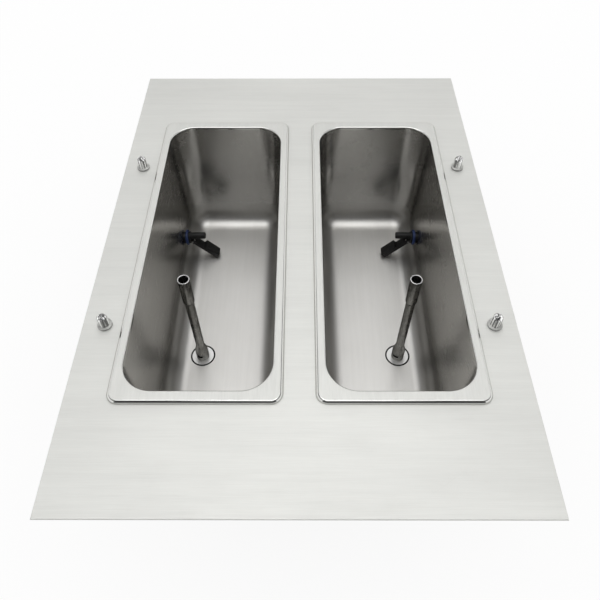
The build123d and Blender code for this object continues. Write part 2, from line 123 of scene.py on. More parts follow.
def settle(piece, sharpAngle=32):
    # Takes the modifiers into the mesh, then shades it smooth between its sharp edges
    bpy.context.view_layer.update()
    graph = bpy.context.evaluated_depsgraph_get()
    mesh = bpy.data.meshes.new_from_object(piece.evaluated_get(graph), depsgraph=graph)
    mesh.name = piece.name
    piece.modifiers.clear()
    piece.data = mesh
    mesh.shade_smooth()
    mesh.set_sharp_from_angle(angle=math.radians(sharpAngle))
    return piece


def combine(piece, operation, *others):
    # Cuts the other pieces out of this one or fuses them with it, and uses them up
    for other in others:
        modifier = piece.modifiers.new(operation.lower(), "BOOLEAN")
        modifier.operation = operation
        modifier.solver = "EXACT"
        modifier.object = other
    settle(piece)
    for other in others:
        bpy.data.objects.remove(other)
    return piece


def prismPiece(name, outline, half):
    # A side outline, counter-clockwise with +x to the right and +z up, reaching half to each side of y = 0
    count = len(outline)
    vertices = [(x, y, z) for y in (-half, half) for x, z in outline]
    faces = [list(range(count)), [count + step for step in reversed(range(count))]]
    for this in range(count):
        after = (this + 1) % count
        faces.append([after, this, count + this, count + after])
    return linkMesh(name, vertices, faces)


def blockPiece(name, low, high, half):
    # A prism between two corners of its side
    return prismPiece(name, [low, (high[0], low[1]), high, (low[0], high[1])], half)


def rodPiece(name, start, end, radius, count=32):
    # A plain rod between two points
    start, end = Vector(start), Vector(end)
    turn = (end - start).to_track_quat("Z", "Y").to_matrix().to_4x4()
    rod = ringPiece(name, [circle(radius, 0, count), circle(radius, (end - start).length, count)], caps=True)
    rod.data.transform(Matrix.Translation(start) @ turn)
    return rod


def takeFinish(piece, node):
    piece.data.materials.clear()
    piece.data.materials.append(slotFinishes[slotOf[node]])


def standFor(piece, node):
    # The piece takes a CAD node's place, with its finish, body and slot
    takeFinish(piece, node)
    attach(piece, bodyOf[node])
    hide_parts(node)


# Nodes of any tree: values are sockets to link or constants to set, under the labels of a node's inputs

def fill(tree, node, values):
    for label, value in values.items():
        if isinstance(value, bpy.types.NodeSocket):
            tree.links.new(value, node.inputs[label])
        else:
            node.inputs[label].default_value = value
    return node


def nodeGroup(name, treeKind, inputs, outputs):
    group = bpy.data.node_groups.new(name, treeKind)
    for way, sockets in (("INPUT", inputs), ("OUTPUT", outputs)):
        for label, kind in sockets.items():
            group.interface.new_socket(name=label, in_out=way, socket_type="NodeSocket" + kind)
    return group, group.nodes.new("NodeGroupInput").outputs, group.nodes.new("NodeGroupOutput")


def addNode(tree, kind, values=None, **settings):
    node = tree.nodes.new(kind)
    for label, value in settings.items():
        setattr(node, label, value)
    return fill(tree, node, values or {})


def addGroup(tree, group, values):
    return addNode(tree, "ShaderNodeGroup", values, node_tree=group).outputs


def calc(tree, operation, first, second=0.0, third=0.0, clamp=False):
    values = {0: first, 1: second, 2: third}
    return addNode(tree, "ShaderNodeMath", values, operation=operation, use_clamp=clamp).outputs[0]


def vectorCalc(tree, operation, first, second=(0, 0, 0), result="Vector"):
    return addNode(tree, "ShaderNodeVectorMath", {0: first, 1: second}, operation=operation).outputs[result]


def axes(tree, vector):
    return addNode(tree, "ShaderNodeSeparateXYZ", {0: vector}).outputs


def ramp(tree, value, fromEdges, toEdges=(0.0, 1.0), kind="LINEAR"):
    values = {"Value": value, "From Min": fromEdges[0], "From Max": fromEdges[1],
              "To Min": toEdges[0], "To Max": toEdges[1]}
    return addNode(tree, "ShaderNodeMapRange", values, interpolation_type=kind).outputs["Result"]


def blend(tree, factor, first, second, kind="RGBA"):
    # Between sockets, or colours written without their alpha
    first, second = [(*end, 1) if isinstance(end, tuple) else end for end in (first, second)]
    values = {"Factor": factor, "A": first, "B": second}
    return addNode(tree, "ShaderNodeMix", values, data_type=kind).outputs["Result"]


def noise(tree, coordinates, detail, roughness=0.55, scale=1.0):
    values = {"Vector": coordinates, "Scale": scale, "Detail": detail, "Roughness": roughness}
    return addNode(tree, "ShaderNodeTexNoise", values).outputs["Fac"]


# Shader groups for the effects that several finishes share

grainForm = {"lineDetail": 3, "streakShare": (0.2, 0.09, 0.09), "streakDetail": 2}
cloudForm = {"detail": 3, "roughness": 0.5, "waveShift": (7.3, 2.1, 5.7), "waveDetail": 0}
marksForm = {
    "turnsAndShifts": ((0.35, 3.1), (-0.6, 8.4), (1.9, 5.2)), "axis": (0.2, 0.1, 1.0),
    "stretch": (0.02, 1.0, 1.0), "lineDetail": 1, "lineEdges": (0.66, 0.74), "roughness": 0.6,
    "patchDetail": 2, "patchScale": 18.0, "patchEdges": (0.45, 0.7), "patchRange": (0.15, 1.0),
    "smudgeDetail": 3, "smudgeScale": 31.0, "smudgeEdges": (0.5, 0.8),
}
mouldForm = {"patchDetail": 3, "patchRoughness": 0.6, "patchScale": 120.0}


def shaderGroup(name, setting, kind, *outputs):
    # A group that reads coordinates and one setting
    inputs = {"Coordinates": "Vector", setting: kind}
    group, source, result = nodeGroup(name, "ShaderNodeTree", inputs, dict.fromkeys(outputs, "Float"))
    return group, source["Coordinates"], source[setting], result


def makeSatinGrain():
    # Fine lines of a belt-sanded sheet, and the broader streaks among them
    form = grainForm
    group, place, stretch, result = shaderGroup("satinGrain", "Stretch", "Vector", "Grain", "Streak")
    lines = vectorCalc(group, "MULTIPLY", place, stretch)
    broad = vectorCalc(group, "MULTIPLY", lines, form["streakShare"])
    fill(group, result, {"Grain": noise(group, lines, form["lineDetail"]),
                         "Streak": noise(group, broad, form["streakDetail"])})
    return group


def makeSheetClouds():
    # Slow changes of tone over a sheet, and its slight unevenness
    form = cloudForm
    group, place, spread, result = shaderGroup("sheetClouds", "Spread", "Vector", "Cloud", "Wave")
    wide = vectorCalc(group, "MULTIPLY", place, spread)
    moved = vectorCalc(group, "ADD", wide, form["waveShift"])
    fill(group, result, {"Cloud": noise(group, wide, form["detail"], form["roughness"]),
                         "Wave": noise(group, moved, form["waveDetail"])})
    return group


def makeHandlingMarks():
    # Hairline scratches in three directions, thicker in patches, and faint wiped smudges
    form = marksForm
    group, place, density, result = shaderGroup("handlingMarks", "Density", "Float", "Scratch", "Smudge")
    scratches = 0.0
    for turn, shift in form["turnsAndShifts"]:
        values = {"Vector": place, "Axis": form["axis"], "Angle": turn}
        turned = addNode(group, "ShaderNodeVectorRotate", values).outputs[0]
        long = vectorCalc(group, "MULTIPLY", turned, form["stretch"])
        moved = vectorCalc(group, "ADD", vectorCalc(group, "MULTIPLY", long, density), (shift, shift, shift))
        lines = ramp(group, noise(group, moved, form["lineDetail"]), form["lineEdges"])
        scratches = calc(group, "MAXIMUM", scratches, lines)
    patch = noise(group, place, form["patchDetail"], form["roughness"], form["patchScale"])
    smudge = noise(group, place, form["smudgeDetail"], form["roughness"], form["smudgeScale"])
    patch = ramp(group, patch, form["patchEdges"], form["patchRange"])
    fill(group, result, {"Scratch": calc(group, "MULTIPLY", scratches, patch),
                         "Smudge": ramp(group, smudge, form["smudgeEdges"])})
    return group


def makeMouldGrain():
    # Spark-eroded mould texture and the soft patches of a moulded or rubber skin
    form = mouldForm
    group, place, fineness, result = shaderGroup("mouldGrain", "Fineness", "Float", "Grain", "Patch")
    pits = addNode(group, "ShaderNodeTexVoronoi", {"Vector": place, "Scale": fineness}, feature="SMOOTH_F1")
    fill(group, result, {
        "Grain": pits.outputs["Distance"],
        "Patch": noise(group, place, form["patchDetail"], form["patchRoughness"], form["patchScale"])})
    return group


satinGrain = makeSatinGrain()
sheetClouds = makeSheetClouds()
handlingMarks = makeHandlingMarks()
mouldGrain = makeMouldGrain()


# Finishes

noiseEdges = (0.3, 0.7)  # between which most of a noise lies


def newFinish(name):
    finish = bpy.data.materials.new(name)
    finish.use_nodes = True
    tree = finish.node_tree
    place = addNode(tree, "ShaderNodeTexCoord").outputs["Object"]
    return finish, tree, tree.nodes["Principled BSDF"], place


def bumps(tree, shader, *layers):
    # Each layer is a height and how deep it is in metres
    under = {}
    for height, depth in layers:
        values = {"Height": height, "Distance": depth, **under}
        under = {"Normal": addNode(tree, "ShaderNodeBump", values).outputs["Normal"]}
    fill(tree, shader, under)


def paintedSlotShadeMask(tree, place, height, form):
    # Where shade is painted: the walls of the mix slots and the bore behind them, near a tube's axis and between
    # two heights
    level = vectorCalc(tree, "MULTIPLY", vectorCalc(tree, "ABSOLUTE", place), (1, 1, 0))
    reach = vectorCalc(tree, "DISTANCE", level, (*form["axis"], 0), "Value")
    radius, low, high, edge = form["radius"], form["low"], form["high"], form["edge"]
    near = ramp(tree, reach, (radius, radius - edge))
    above = ramp(tree, height, (low, low + edge))
    below = ramp(tree, height, (high, high - edge))
    return calc(tree, "MULTIPLY", near, calc(tree, "MULTIPLY", above, below))


def metalFinish(name, look):
    # Zones take over one after another, each over a span of heights and wholly beyond it
    finish, tree, shader, place = newFinish(name)
    grain = addGroup(tree, satinGrain, {"Coordinates": place, "Stretch": look["grain"]})
    clouds = addGroup(tree, sheetClouds, {"Coordinates": place, "Spread": look["clouds"]})
    marks = addGroup(tree, handlingMarks, {"Coordinates": place, "Density": look["scratches"]})
    tone = calc(tree, "MULTIPLY", clouds["Cloud"], 1.0 - look["streaks"])
    tone = calc(tree, "MULTIPLY_ADD", grain["Streak"], look["streaks"], tone)
    shade = ramp(tree, tone, look["toneEdges"])
    height = axes(tree, place)["Z"]
    colour = blend(tree, shade, look["dark"], look["light"])
    rough = ramp(tree, grain["Grain"], noiseEdges, look["roughness"])
    for span, dark, light, roughness in look.get("zones", []):
        inZone = ramp(tree, height, span)
        colour = blend(tree, inZone, colour, blend(tree, shade, dark, light))
        rough = blend(tree, inZone, rough, ramp(tree, grain["Grain"], noiseEdges, roughness), "FLOAT")
    # Painted shade: the mix slots' walls and the bore behind them are coloured near black
    if "slotWalls" in look:
        form = look["slotWalls"]
        colour = blend(tree, paintedSlotShadeMask(tree, place, height, form), colour, form["dark"])
    rough = calc(tree, "MULTIPLY_ADD", marks["Smudge"], look["smudges"], rough)
    rough = calc(tree, "MULTIPLY_ADD", marks["Scratch"], look["scratchRoughness"], rough, clamp=True)
    fill(tree, shader, {"Base Color": colour, "Roughness": rough, "Metallic": 1.0,
                        "Specular Tint": (*look["edgeTint"], 1)})
    if "turned" in look:
        # Turning marks run round the piece and stretch its reflections along the axis
        axis = addNode(tree, "ShaderNodeCombineXYZ", look["turnedAxis"]).outputs[0]
        fill(tree, shader, {"Tangent": axis, "Anisotropic": look["turned"]})
    bumps(tree, shader, (clouds["Wave"], look["waveDepth"]), (grain["Grain"], look["grainDepth"]))
    return finish


def mouldedFinish(name, look):
    finish, tree, shader, place = newFinish(name)
    skin = addGroup(tree, mouldGrain, {"Coordinates": place, "Fineness": look["fineness"]})
    colour = blend(tree, ramp(tree, skin["Patch"], noiseEdges), look["dark"], look["light"])
    if "boss" in look:
        # Painted shade on the boss: darker beyond a distance from the middle of the deck, on both sides
        form = look["boss"]
        across = calc(tree, "ABSOLUTE", axes(tree, place)["X"])
        colour = blend(tree, ramp(tree, across, form["span"]), colour, form["dark"])
    rough = ramp(tree, skin["Patch"], noiseEdges, look["roughness"])
    fill(tree, shader, {"Base Color": colour, "Roughness": rough, "Specular IOR Level": look["gloss"]})
    bumps(tree, shader, (skin["Grain"], look["grainDepth"]))
    return finish


def glassFinish(name, look):
    finish, tree, shader, place = newFinish(name)
    patch = addGroup(tree, mouldGrain, {"Coordinates": place, "Fineness": look["fineness"]})["Patch"]
    fill(tree, shader, {
        "Base Color": blend(tree, patch, look["dark"], look["light"]),
        "Roughness": ramp(tree, patch, noiseEdges, look["roughness"]), "Transmission Weight": look["clear"]})
    return finish


sheetLook = {
    "dark": (0.69, 0.692, 0.670), "light": (0.75, 0.752, 0.728), "roughness": (0.60, 0.70), "streaks": 0.4,
    "grain": (30, 1500, 1500), "clouds": (5, 13, 13), "scratches": 450.0, "smudges": 0.03,
    "scratchRoughness": 0.03, "waveDepth": 0.0004, "grainDepth": 0.000003, "edgeTint": (1, 1, 1),
    "toneEdges": noiseEdges,
}
sheetTones = sheetLook["dark"], sheetLook["light"]
# Painted shade and light: the walls and the floor's edge are coloured darker than the floor and the upper walls of
# the same sheet, standing in for the reflections in it
hopperLook = {
    **sheetLook, "dark": (0.46, 0.453, 0.437), "light": (0.51, 0.503, 0.487), "roughness": (0.235, 0.275),
    "grain": (900, 60, 900), "clouds": (9, 7, 9), "scratchRoughness": 0.01, "waveDepth": 0.0003,
    "grainDepth": 0.0000006, "edgeTint": (0.55, 0.54, 0.525),
    "zones": [  # span, dark, light and roughness
        # the floor's edge: painted shade that dims its highlight
        ((-0.125, -0.160), (0.50, 0.494, 0.478), (0.55, 0.544, 0.527), (0.36, 0.41)),  # floor's edge
        ((-0.1705, -0.1727), (0.64, 0.632, 0.612), (0.70, 0.692, 0.672), (0.47, 0.52)),  # floor
        # the upper walls: painted lighter than the walls below them
        ((-0.07, 0.02), (0.63, 0.622, 0.602), (0.70, 0.692, 0.672), (0.235, 0.275)),  # upper walls
        ((0.0265, 0.0275), *sheetTones, (0.07, 0.11)),  # edge of the rim
        ((0.0317, 0.0319), *sheetTones, sheetLook["roughness"]),  # top of the rim
    ],
}
railLook = {
    **sheetLook, "dark": (0.48, 0.48, 0.47), "light": (0.60, 0.60, 0.59), "roughness": (0.38, 0.55),
    "grain": (700, 700, 700), "clouds": (16, 16, 16), "smudges": 0.12,
}
strapLook = {**railLook, "dark": (0.50, 0.51, 0.52), "light": (0.64, 0.65, 0.66), "clouds": (70, 70, 70)}
turnedLook = {
    **sheetLook, "dark": (0.66, 0.66, 0.65), "light": (0.74, 0.74, 0.73), "roughness": (0.10, 0.16),
    "grain": (120, 120, 2600), "clouds": (60, 60, 60), "scratches": 1200.0,
    "waveDepth": 0.00001, "grainDepth": 0.000001, "edgeTint": (0.22, 0.22, 0.22),
}
# The dark streaks are partly polish lines and partly painted reflection, far darker than polish lines are
pinLook = {
    **turnedLook, "dark": (0.20, 0.20, 0.198), "light": (0.99, 0.99, 0.98), "roughness": (0.20, 0.26),
    "grain": (2150, 4800, 60), "streaks": 1.0, "toneEdges": (0.43, 0.53), "edgeTint": (0.95, 0.95, 0.95),
    "turned": 0.9, "turnedAxis": {"X": 0.01, "Y": 0.02, "Z": 1.0},
    "zones": [
        ((0.0304, 0.0301), *sheetTones, sheetLook["roughness"]),  # flange
        # painted shade on the flange's edge, standing in for a dark reflection along it
        ((0.0296, 0.0292), (0.30, 0.30, 0.295), (0.38, 0.38, 0.375), (0.20, 0.26)),  # flange's edge
    ],
}
tubeLook = {
    **turnedLook, "dark": (0.22, 0.217, 0.206), "light": (0.36, 0.355, 0.338), "roughness": (0.22, 0.30),
    "grain": (1600, 1600, 60), "clouds": (150, 150, 90), "smudges": 0.12, "edgeTint": (0.15, 0.15, 0.15),
    "zones": [
        # the lower end: painted light, lighter towards the foot
        ((-0.085, -0.135), (0.25, 0.247, 0.237), (0.46, 0.455, 0.436), (0.24, 0.32)),  # lower end
        # the head's top edge: a painted highlight
        ((0.0208, 0.0211), (0.76, 0.76, 0.75), (0.84, 0.84, 0.83), (0.14, 0.20)),  # head's top edge
    ],
    # painted shade in the mix slots and the bore behind them
    "slotWalls": {"axis": (0.1553, 0.0727), "radius": 0.0094, "edge": 0.0002, "low": -0.1664,
                  "high": -0.1598, "dark": (0.006, 0.006, 0.006)},
}
ferruleLook = {**turnedLook, "roughness": (0.34, 0.42), "grain": (900, 900, 900)}
fastenerLook = {
    **turnedLook, "dark": (0.58, 0.58, 0.57), "light": (0.70, 0.70, 0.69), "roughness": (0.24, 0.36),
    "grain": (900, 900, 900),
}
copperLook = {
    **turnedLook, "dark": (0.62, 0.31, 0.18), "light": (0.80, 0.47, 0.31), "roughness": (0.24, 0.42),
    "grain": (500, 60, 500), "clouds": (24, 24, 24), "smudges": 0.2,
}
plasticLook = {
    "dark": (0.010, 0.010, 0.010), "light": (0.020, 0.020, 0.020), "roughness": (0.42, 0.55),
    "fineness": 1900.0, "grainDepth": 0.00004, "gloss": 0.25,
}
siliconeLook = {
    "dark": (0.014, 0.030, 0.10), "light": (0.022, 0.046, 0.15), "roughness": (0.34, 0.46),
    "fineness": 2600.0, "grainDepth": 0.00001, "gloss": 0.4,
    # painted shade on the gasket's boss, next to the hopper wall
    "boss": {"span": (0.1998, 0.2004), "dark": (0.006, 0.007, 0.010)},
}
rubberLook = {
    "dark": (0.008, 0.008, 0.008), "light": (0.016, 0.016, 0.016), "roughness": (0.55, 0.75),
    "fineness": 1500.0, "grainDepth": 0.00004, "gloss": 0.12,
}
ferriteLook = {
    "dark": (0.03, 0.03, 0.032), "light": (0.06, 0.06, 0.062), "roughness": (0.5, 0.7),
    "fineness": 3200.0, "grainDepth": 0.00003, "gloss": 0.5,
}
glassLook = {
    "dark": (0.78, 0.86, 0.83), "light": (0.86, 0.93, 0.90), "roughness": (0.03, 0.08),
    "fineness": 300.0, "clear": 0.9,
}

slotFinishes = {
    "deck_steel": metalFinish("deckSteel", sheetLook),
    "hopper_steel": metalFinish("hopperSteel", hopperLook),
    "rail_steel": metalFinish("railSteel", railLook),
    "strap_steel": metalFinish("strapSteel", strapLook),
    "pin_steel": metalFinish("pinSteel", pinLook),
    "tube_steel": metalFinish("tubeSteel", tubeLook),
    "polished_steel": metalFinish("ferruleSteel", ferruleLook),
    "fastener_steel": metalFinish("fastenerSteel", fastenerLook),
    "copper": metalFinish("bareCopper", copperLook),
    "black_plastic": mouldedFinish("blackPlastic", plasticLook),
    "blue_silicone": mouldedFinish("blueSilicone", siliconeLook),
    "black_rubber": mouldedFinish("blackRubber", rubberLook),
    "ferrite": mouldedFinish("sinteredFerrite", ferriteLook),
    "reed_glass": glassFinish("reedGlass", glassLook),
}
for node in slotOf:
    takeFinish(nodes[node], node)
print("finishes made:", len(slotFinishes))


# Hoppers: one sheet drawn from rim lip to floor, as rounded loops along its section

hopperForm = {
    "sheet": 0.0012, "draft": 2.0, "mouth": (0.0885, 0.240), "mouthCorner": 0.038, "mouthBend": 0.002,
    "rimCorner": 0.014, "rimBend": 0.0047, "lipEdge": 0.0002, "floorFillet": 0.029,
    "cornerSteps": 20, "filletSteps": 20, "bendSteps": 6, "lipSteps": 12, "hold": 0.0008,
    "runShares": (0.015, 0.2, 0.4, 0.6, 0.8, 0.985), "wallShares": (0.02, 0.25, 0.5, 0.75, 0.98),
    "outletRadius": 0.019, "outletCut": 0.01, "outletSides": 72,
    "switchRadius": 0.0082, "switchCut": 0.006, "switchSides": 48, "switchHeight": 0.0466, "switchY": 0.1402,
}
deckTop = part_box("deck_panel")[1].z


def roundedLoop(middle, half, corner, inset, height):
    # A rectangle with round corners, moved in by the inset
    steps, radius = hopperForm["cornerSteps"], corner - inset
    corners = []
    for quarter, (signX, signY) in enumerate(((1, 1), (-1, 1), (-1, -1), (1, -1))):
        x = middle.x + signX * (half[0] - inset - radius)
        y = middle.y + signY * (half[1] - inset - radius)
        bow = arc(x, y, radius, 90 * quarter, 90 * quarter + 90, steps)
        corners.append([Vector((*point, height)) for point in bow])
    loop = []
    for quarter in range(4):
        end, start = corners[quarter][-1], corners[(quarter + 1) % 4][0]
        loop += corners[quarter] + [end.lerp(start, share) for share in hopperForm["runShares"]]
    return [tuple(point) for point in loop]


def hopperSizes(side):
    low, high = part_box(side + "_hopper")
    return {"middle": (low + high) / 2, "rimTop": high.z, "floor": low.z + hopperForm["sheet"],
            "rim": ((high.x - low.x) / 2, (high.y - low.y) / 2)}


def hopperRings(side):
    # Points of the section are insets, which grow towards the middle of the hopper, and heights
    form, sizes = hopperForm, hopperSizes(side)
    rimTop, floor = sizes["rimTop"], sizes["floor"]
    sheet, hold, edge = form["sheet"], form["hold"], form["lipEdge"]
    draft, lean = form["draft"], math.radians(form["draft"])
    fillet, bend, lip = form["floorFillet"], form["mouthBend"], form["rimBend"]
    filletZ, bendZ, lipZ = floor + fillet, rimTop - bend, rimTop - lip
    filletInset = (rimTop - filletZ) * math.tan(lean) + fillet / math.cos(lean)
    bendInset = bend * math.tan(lean) - bend / math.cos(lean)

    def wall(start, end):
        return [Vector(start).lerp(Vector(end), share) for share in form["wallShares"]]

    def loops(half, corner, points):
        return [roundedLoop(sizes["middle"], half, corner, *point) for point in points]

    outerFillet = arc(filletInset, filletZ, fillet + sheet, 270, 180 + draft, form["filletSteps"])
    innerFillet = arc(filletInset, filletZ, fillet, 180 + draft, 270, form["filletSteps"])
    outerBend = arc(bendInset, bendZ, bend - sheet, draft, 90, form["bendSteps"])
    innerBend = arc(bendInset, bendZ, bend, 90, draft, form["bendSteps"])
    innerLip = arc(lip, lipZ, lip - sheet, 90, 180, form["lipSteps"])
    outerLip = arc(lip, lipZ, lip, 180, 90, form["lipSteps"])
    outside = [(filletInset + hold, floor - sheet), *outerFillet, *wall(outerFillet[-1], outerBend[0]),
               *outerBend, (bendInset - hold, rimTop - sheet)]
    rim = [(lip + hold, rimTop - sheet), *innerLip, (sheet, deckTop + edge), (sheet - edge, deckTop),
           (edge, deckTop), (0, deckTop + edge), *outerLip, (lip + hold, rimTop)]
    inside = [(bendInset - hold, rimTop), *innerBend, *wall(innerBend[-1], innerFillet[0]), *innerFillet,
              (filletInset + hold, floor)]
    mouth = form["mouth"], form["mouthCorner"]
    return loops(*mouth, outside) + loops(sizes["rim"], form["rimCorner"], rim) + loops(*mouth, inside)


def switchPlace(side):
    # Frame of a float switch: +x from the inside of the hopper's outer wall into it, square to the wall
    form, sizes, sign = hopperForm, hopperSizes(side), sides[side]
    height = sizes["floor"] + form["switchHeight"]
    lean = math.radians(form["draft"])
    inset = (sizes["rimTop"] - height) * math.tan(lean)
    x = sizes["middle"].x + sign * (form["mouth"][0] - inset)
    facing = Matrix.Rotation(math.pi, 4, "Z") if sign > 0 else Matrix.Identity(4)
    return Matrix.Translation((x, form["switchY"], height)) @ facing @ Matrix.Rotation(-lean, 4, "Y")


def outletMiddle(side):
    low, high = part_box(side + "_outlet_ferrule")
    return (low + high) / 2


def makeHopper(side):
    form, outlet, floor = hopperForm, outletMiddle(side), hopperSizes(side)["floor"]
    hopper = ringPiece(side + "Hopper", hopperRings(side), caps=True)
    ends = [(outlet.x, outlet.y, floor + way * form["outletCut"]) for way in (-1, 1)]
    outletCut = rodPiece("outletCut", *ends, form["outletRadius"], form["outletSides"])
    ends = [switchPlace(side) @ Vector((way * form["switchCut"], 0, 0)) for way in (-1, 1)]
    switchCut = rodPiece("switchCut", *ends, form["switchRadius"], form["switchSides"])
    standFor(combine(hopper, "DIFFERENCE", outletCut, switchCut), side + "_hopper")


for side in sides:
    makeHopper(side)
print("hoppers made")


# Outlet seals: rubber rings pressed up into a low bead over the edge of the floor

sealForm = {"inner": 0.017, "cut": 0.019, "bead": 0.0195, "proud": 0.0005, "gap": 0.00003, "steps": 8,
            "sides": 72}


def makeSeal(side):
    form, floor, outlet = sealForm, hopperSizes(side)["floor"], outletMiddle(side)
    foot, top = floor - hopperForm["sheet"], floor + form["gap"]
    middle, half = (form["inner"] + form["bead"]) / 2, (form["bead"] - form["inner"]) / 2
    profile = [(form["inner"], foot), (form["cut"], foot), (form["cut"], top)]
    profile += [(middle + half * x, top + form["proud"] * z) for x, z in arc(0, 0, 1, 0, 180, form["steps"])]
    seal = turnedPiece(side + "OutletSeal", profile, form["sides"], True, outlet.x, outlet.y)
    standFor(settle(seal), side + "_outlet_seal")


for side in sides:
    makeSeal(side)
print("outlet seals made")


# Geometry Nodes trees: copies of a part on points, and threaded rods

def geometryTree(name, inputs):
    shape = {"Geometry": "Geometry"}
    return nodeGroup(name, "GeometryNodeTree", {**shape, **inputs, "Finish": "Material"}, shape)


def placeOnPoints(tree, source, result, part, turn):
    # The tail that the trees share: the part on every point, made real, with its finish
    around = addNode(tree, "FunctionNodeAxisAngleToRotation", {"Axis": (0, 0, 1), "Angle": turn})
    placed = addNode(tree, "GeometryNodeInstanceOnPoints", {
        "Points": source["Geometry"], "Instance": part, "Rotation": around.outputs[0]})
    solid = addNode(tree, "GeometryNodeRealizeInstances", {"Geometry": placed.outputs[0]})
    finished = addNode(tree, "GeometryNodeSetMaterial", {
        "Geometry": solid.outputs[0], "Material": source["Finish"]})
    fill(tree, result, {"Geometry": finished.outputs[0]})


def makeCopyTree():
    # One part on every point, each turned by a chance angle
    tree, source, result = geometryTree("copiesOnPoints", {
        "Part": "Object", "Turn": "Float", "Seed": "Int"})
    part = addNode(tree, "GeometryNodeObjectInfo", {"Object": source["Part"]})
    chance = addNode(tree, "FunctionNodeRandomValue", {"Seed": source["Seed"]}, data_type="FLOAT")
    turn = calc(tree, "MULTIPLY", chance.outputs[1], source["Turn"])
    placeOnPoints(tree, source, result, part.outputs["Geometry"], turn)
    return tree


def makeThreadTree():
    # A rod on every point, whose skin sinks and rises along a helix
    tree, source, result = geometryTree("threadedRods", {
        "Radius": "Float", "Length": "Float", "Pitch": "Float", "Depth": "Float", "Rows": "Int",
        "Sides": "Int"})
    rod = addNode(tree, "GeometryNodeMeshCylinder", {
        "Vertices": source["Sides"], "Side Segments": source["Rows"], "Radius": source["Radius"],
        "Depth": source["Length"]})
    place = axes(tree, addNode(tree, "GeometryNodeInputPosition").outputs[0])
    around = calc(tree, "DIVIDE", calc(tree, "ARCTAN2", place["Y"], place["X"]), 2 * math.pi)
    along = calc(tree, "DIVIDE", place["Z"], source["Pitch"])
    wave = calc(tree, "PINGPONG", calc(tree, "SUBTRACT", along, around), 0.5)  # 0 on crests, 0.5 in roots
    sunk = calc(tree, "MULTIPLY", calc(tree, "MULTIPLY", wave, -2.0), source["Depth"])
    flat = addNode(tree, "ShaderNodeCombineXYZ", {"X": place["X"], "Y": place["Y"]}).outputs[0]
    offset = vectorCalc(tree, "MULTIPLY", vectorCalc(tree, "NORMALIZE", flat), sunk)
    thread = addNode(tree, "GeometryNodeSetPosition", {"Geometry": rod.outputs["Mesh"], "Offset": offset})
    placeOnPoints(tree, source, result, thread.outputs[0], 0.0)
    return tree


copyTree = makeCopyTree()
threadTree = makeThreadTree()
threadForm = {"depthShare": 0.55, "rowsPerTurn": 6, "sides": 28}


def growOn(tree, name, points, node, values):
    # Runs a tree on a set of points and keeps what it makes as a plain mesh
    values = {**values, "Finish": slotFinishes[slotOf[node]]}
    piece = linkMesh(name, points, [])
    modifier = piece.modifiers.new("grow", "NODES")
    modifier.node_group = tree
    for item in tree.interface.items_tree:
        if item.in_out == "INPUT" and item.name in values:
            modifier[item.identifier] = values[item.name]
    return settle(piece)


def copiesOf(part, name, points, node, turn=0.0, seed=1):
    piece = growOn(copyTree, name, points, node, {"Part": part, "Turn": turn, "Seed": seed})
    bpy.data.objects.remove(part)
    return piece


def threadedRods(name, places, low, high, radius, pitch, node):
    # Rods of the thread's outer radius between two heights, at each place
    form = threadForm
    points = [(x, y, (low + high) / 2) for x, y in places]
    return growOn(threadTree, name, points, node, {
        "Radius": radius, "Length": high - low, "Pitch": pitch, "Depth": pitch * form["depthShare"],
        "Rows": round((high - low) / pitch * form["rowsPerTurn"]), "Sides": form["sides"]})


nutShape = {"faceShare": 0.95, "chamfer": 30, "sink": 0.0003, "sides": 48, "sixth": math.pi / 3}


def nutPiece(name, form, low, high):
    # A hexagon nut, its corners turned off, with a round flange on top where the form has one
    half, bore, count, sink = form["flats"] / 2, form["bore"], nutShape["sides"], nutShape["sink"]
    face, sixth = half * nutShape["faceShare"], nutShape["sixth"]
    slope = math.tan(math.radians(nutShape["chamfer"]))
    turns = [2 * math.pi * step / count for step in range(count)]
    reach = [half / math.cos((turn + sixth / 2) % sixth - sixth / 2) for turn in turns]

    def hexRing(height, way):
        return [(far * math.cos(turn), far * math.sin(turn), height + way * (far - face) * slope)
                for far, turn in zip(reach, turns)]

    rings = [circle(bore, low + sink, count), circle(bore + sink, low, count), circle(face, low, count)]
    rings.append(hexRing(low, 1))
    if "flange" in form:
        shoulder = high - form["flangeThick"]
        rings += [hexRing(shoulder, 0), circle(form["flange"] - sink, shoulder, count)]
        rings += [circle(form["flange"], shoulder + sink, count), circle(form["flange"], high, count)]
    else:
        rings += [hexRing(high, -1), circle(face, high, count)]
    rings += [circle(bore + sink, high, count), circle(bore, high - sink, count)]
    return ringPiece(name, rings, closed=True)


def makeNuts(name, node, form, places, seed):
    low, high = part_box(node)
    nut = nutPiece("nut", form, low.z, high.z)
    points = [(x, y, 0) for x, y in places]
    standFor(copiesOf(nut, name, points, node, nutShape["sixth"], seed), node)


# Locating pins: turned bullets with a flange, and a threaded tail with a lock nut under the deck

pinForm = {
    "flange": 0.0092, "flangeThick": 0.003, "flangeEdge": 0.0007, "edgeSteps": 5, "shank": 0.0063,
    "shankHeight": 0.0135, "root": 0.0005, "rootSteps": 4, "nose": 0.005, "noseLean": 0.4, "noseSteps": 10,
    "tip": 0.0024, "tipEdge": 0.0004, "neck": 0.0039, "neckDepth": 0.005, "tail": 0.004, "pitch": 0.00125,
    "sides": 56,
}
lockNutForm = {"flats": 0.013, "bore": 0.00405, "seed": 4}


def noseArc(start, end, lean, steps):
    # The arc that leaves its start leaning inwards and ends at the tip
    start, end = Vector(start), Vector(end)
    inward = Vector((-1, -lean)).normalized()
    chord = end - start
    radius = chord.length_squared / (2 * chord.dot(inward))
    middle = start + inward * radius
    turns = [math.degrees(math.atan2(point.y - middle.y, point.x - middle.x)) for point in (start, end)]
    return arc(middle.x, middle.y, radius, *turns, steps)


